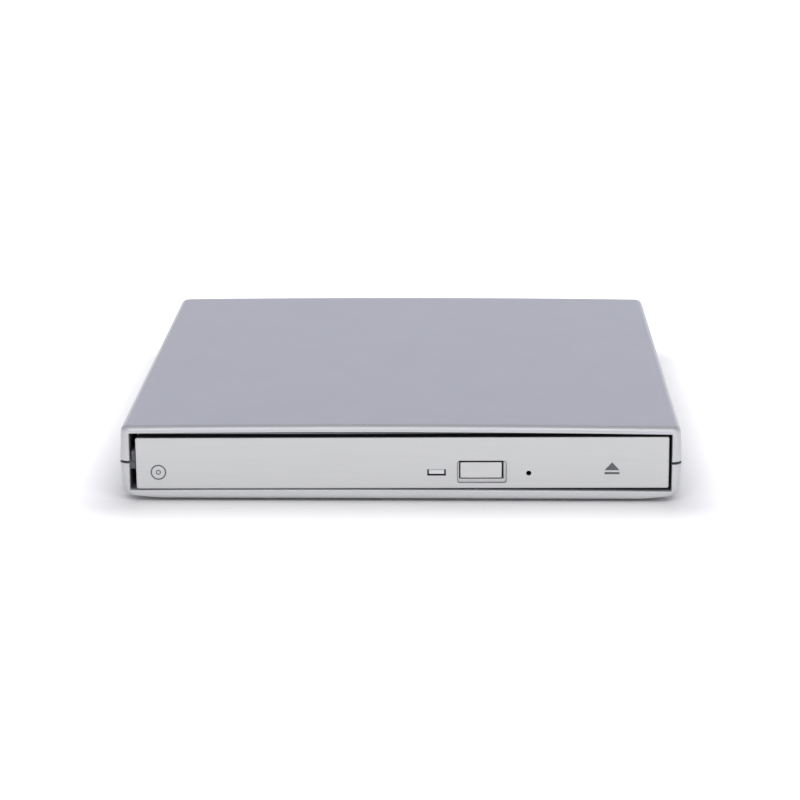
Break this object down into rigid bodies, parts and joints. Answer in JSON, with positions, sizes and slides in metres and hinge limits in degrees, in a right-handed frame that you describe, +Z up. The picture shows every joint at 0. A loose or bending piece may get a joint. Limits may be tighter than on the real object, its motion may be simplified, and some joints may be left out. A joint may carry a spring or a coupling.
{
  "type": "external optical drive",
  "caption": "Slim external optical drive: a flat two-part case around a tray-loading disc drive whose tray slides out at the front.",
  "frame": {"origin": "on the table, under the centre of the case", "axes": "+Z up, +Y from the bezel to the sockets at the back, +X to the right as seen from the bezel"},
  "size_m": [0.1352, 0.142, 0.0191],
  "materials": {
    "case": "satin silver-grey paint on a moulded shell",
    "bezel": "satin silver paint on moulded plastic",
    "button": "satin silver paint",
    "light_pipe": "milky clear plastic",
    "tray": "black moulded plastic, fine grain",
    "dark_plastic": "black moulded plastic",
    "white_plastic": "natural acetal",
    "sheet_steel": "bright zinc-plated sheet",
    "rail_steel": "rolled steel with a film of grease",
    "polished_steel": "ground and polished",
    "screw_steel": "black zinc",
    "casting": "die-cast, as cast",
    "board": "green solder mask",
    "chip": "moulded package",
    "connector": "ivory nylon",
    "ribbon": "white flat cable, blue ends",
    "rubber": "matt black",
    "lens": "coated moulded lens",
    "coil": "enamelled copper in a steel yoke"
  },
  "bodies": {
    "root": {"top_case": "case", "bottom_case": "case", "foot_front_left": "rubber", "foot_front_right": "rubber", "foot_rear_left": "rubber", "foot_rear_right": "rubber", "case_screw_left": "screw_steel", "case_screw_right": "screw_steel", "drive_screw_left": "screw_steel", "drive_screw_right": "screw_steel", "bridge_board": "board", "bridge_chip": "chip", "bridge_plug": "chip", "usb_socket": "sheet_steel", "usb_socket_tongue": "chip", "power_socket": "chip", "capacitor": "sheet_steel", "drive_chassis": "sheet_steel", "drive_cover": "sheet_steel", "main_board": "board", "main_chip": "chip", "drive_sata_socket": "chip", "board_ribbon_socket": "connector", "ribbon_cable": "ribbon", "latch_pin": "polished_steel", "outer_rail_left": "rail_steel", "outer_rail_right": "rail_steel"},
    "middle_rail_left": {"middle_rail_left": "rail_steel"},
    "middle_rail_right": {"middle_rail_right": "rail_steel"},
    "tray": {"tray": "tray", "bezel": "bezel", "led_window": "light_pipe", "front_board": "board", "activity_led": "light_pipe", "eject_switch": "chip", "tray_shield": "sheet_steel", "tray_ribbon_socket": "connector", "lock_solenoid": "coil", "traverse_frame": "sheet_steel", "traverse_damper_1": "rubber", "traverse_damper_2": "rubber", "traverse_damper_3": "rubber", "guide_rod_main": "polished_steel", "guide_rod_sub": "polished_steel", "spindle_motor_base": "sheet_steel", "sled_motor": "sheet_steel"},
    "eject_button": {"eject_button": "button"},
    "lock_lever": {"lock_lever": "white_plastic"},
    "solenoid_plunger": {"solenoid_plunger": "polished_steel"},
    "ejector_plunger": {"ejector_plunger": "polished_steel"},
    "turntable": {"turntable": "sheet_steel", "turntable_pad": "rubber", "spindle_hub": "dark_plastic"},
    "disc_claw_1": {"disc_claw_1": "white_plastic"},
    "disc_claw_2": {"disc_claw_2": "white_plastic"},
    "disc_claw_3": {"disc_claw_3": "white_plastic"},
    "pickup": {"pickup_body": "casting", "rack_follower": "white_plastic"},
    "lens": {"objective_lens": "lens"},
    "lead_screw": {"lead_screw": "polished_steel"}
  },
  "joints": [
    {"name": "tray_slide", "type": "slide", "parent": "root", "child": "tray", "axis": [0, -1, 0], "range_m": [0, 0.13], "deforming": ["ribbon_cable"]},
    {"name": "middle_rail_left_slide", "type": "slide", "parent": "root", "child": "middle_rail_left", "axis": [0, -1, 0], "range_m": [0, 0.0651]},
    {"name": "middle_rail_right_slide", "type": "slide", "parent": "root", "child": "middle_rail_right", "axis": [0, -1, 0], "range_m": [0, 0.0651]},
    {"name": "ejector_slide", "type": "slide", "parent": "tray", "child": "ejector_plunger", "axis": [0, 1, 0], "range_m": [0, 0.0081]},
    {"name": "eject_button_press", "type": "slide", "parent": "tray", "child": "eject_button", "axis": [0, 1, 0], "range_m": [0, 0.0007], "stiffness_N_per_m": 600},
    {"name": "lock_lever_swing", "type": "hinge", "parent": "tray", "child": "lock_lever", "pos_m": [0.0464, -0.058, 0.007], "axis": [0, 0, 1], "range_deg": [0, 20]},
    {"name": "solenoid_plunger_slide", "type": "slide", "parent": "tray", "child": "solenoid_plunger", "axis": [0, 1, 0], "range_m": [0, 0.0016], "stiffness_N_per_m": 120},
    {"name": "turntable_spin", "type": "hinge", "parent": "tray", "child": "turntable", "pos_m": [0.0004, -0.0046, 0.008], "axis": [0, 0, 1], "continuous": true},
    {"name": "disc_claw_1_press", "type": "slide", "parent": "turntable", "child": "disc_claw_1", "axis": [-1, 0, 0], "range_m": [0, 0.0006], "stiffness_N_per_m": 400},
    {"name": "disc_claw_2_press", "type": "slide", "parent": "turntable", "child": "disc_claw_2", "axis": [0.5, -0.866, 0], "range_m": [0, 0.0006], "stiffness_N_per_m": 400},
    {"name": "disc_claw_3_press", "type": "slide", "parent": "turntable", "child": "disc_claw_3", "axis": [0.5, 0.866, 0], "range_m": [0, 0.0006], "stiffness_N_per_m": 400},
    {"name": "pickup_slide", "type": "slide", "parent": "tray", "child": "pickup", "axis": [-0.7071, -0.7071, 0], "range_m": [0, 0.0315]},
    {"name": "lens_focus", "type": "slide", "parent": "pickup", "child": "lens", "axis": [0, 0, 1], "range_m": [-0.0004, 0.0004], "stiffness_N_per_m": 60},
    {"name": "lead_screw_spin", "type": "hinge", "parent": "tray", "child": "lead_screw", "pos_m": [-0.00632, -0.04031, 0.0074], "axis": [-0.7071, -0.7071, 0], "range_deg": [0, 3785]}
  ],
  "couplings": [
    {"joint": "middle_rail_left_slide", "follows": "tray_slide", "ratio": 0.5},
    {"joint": "middle_rail_right_slide", "follows": "tray_slide", "ratio": 0.5},
    {"joint": "ejector_slide", "follows": "tray_slide", "ratio": 0.0615},
    {"joint": "lock_lever_swing", "follows": "solenoid_plunger_slide", "rad_per_m": 217},
    {"joint": "lead_screw_spin", "follows": "pickup_slide", "rad_per_m": 2094.4}
  ]
}
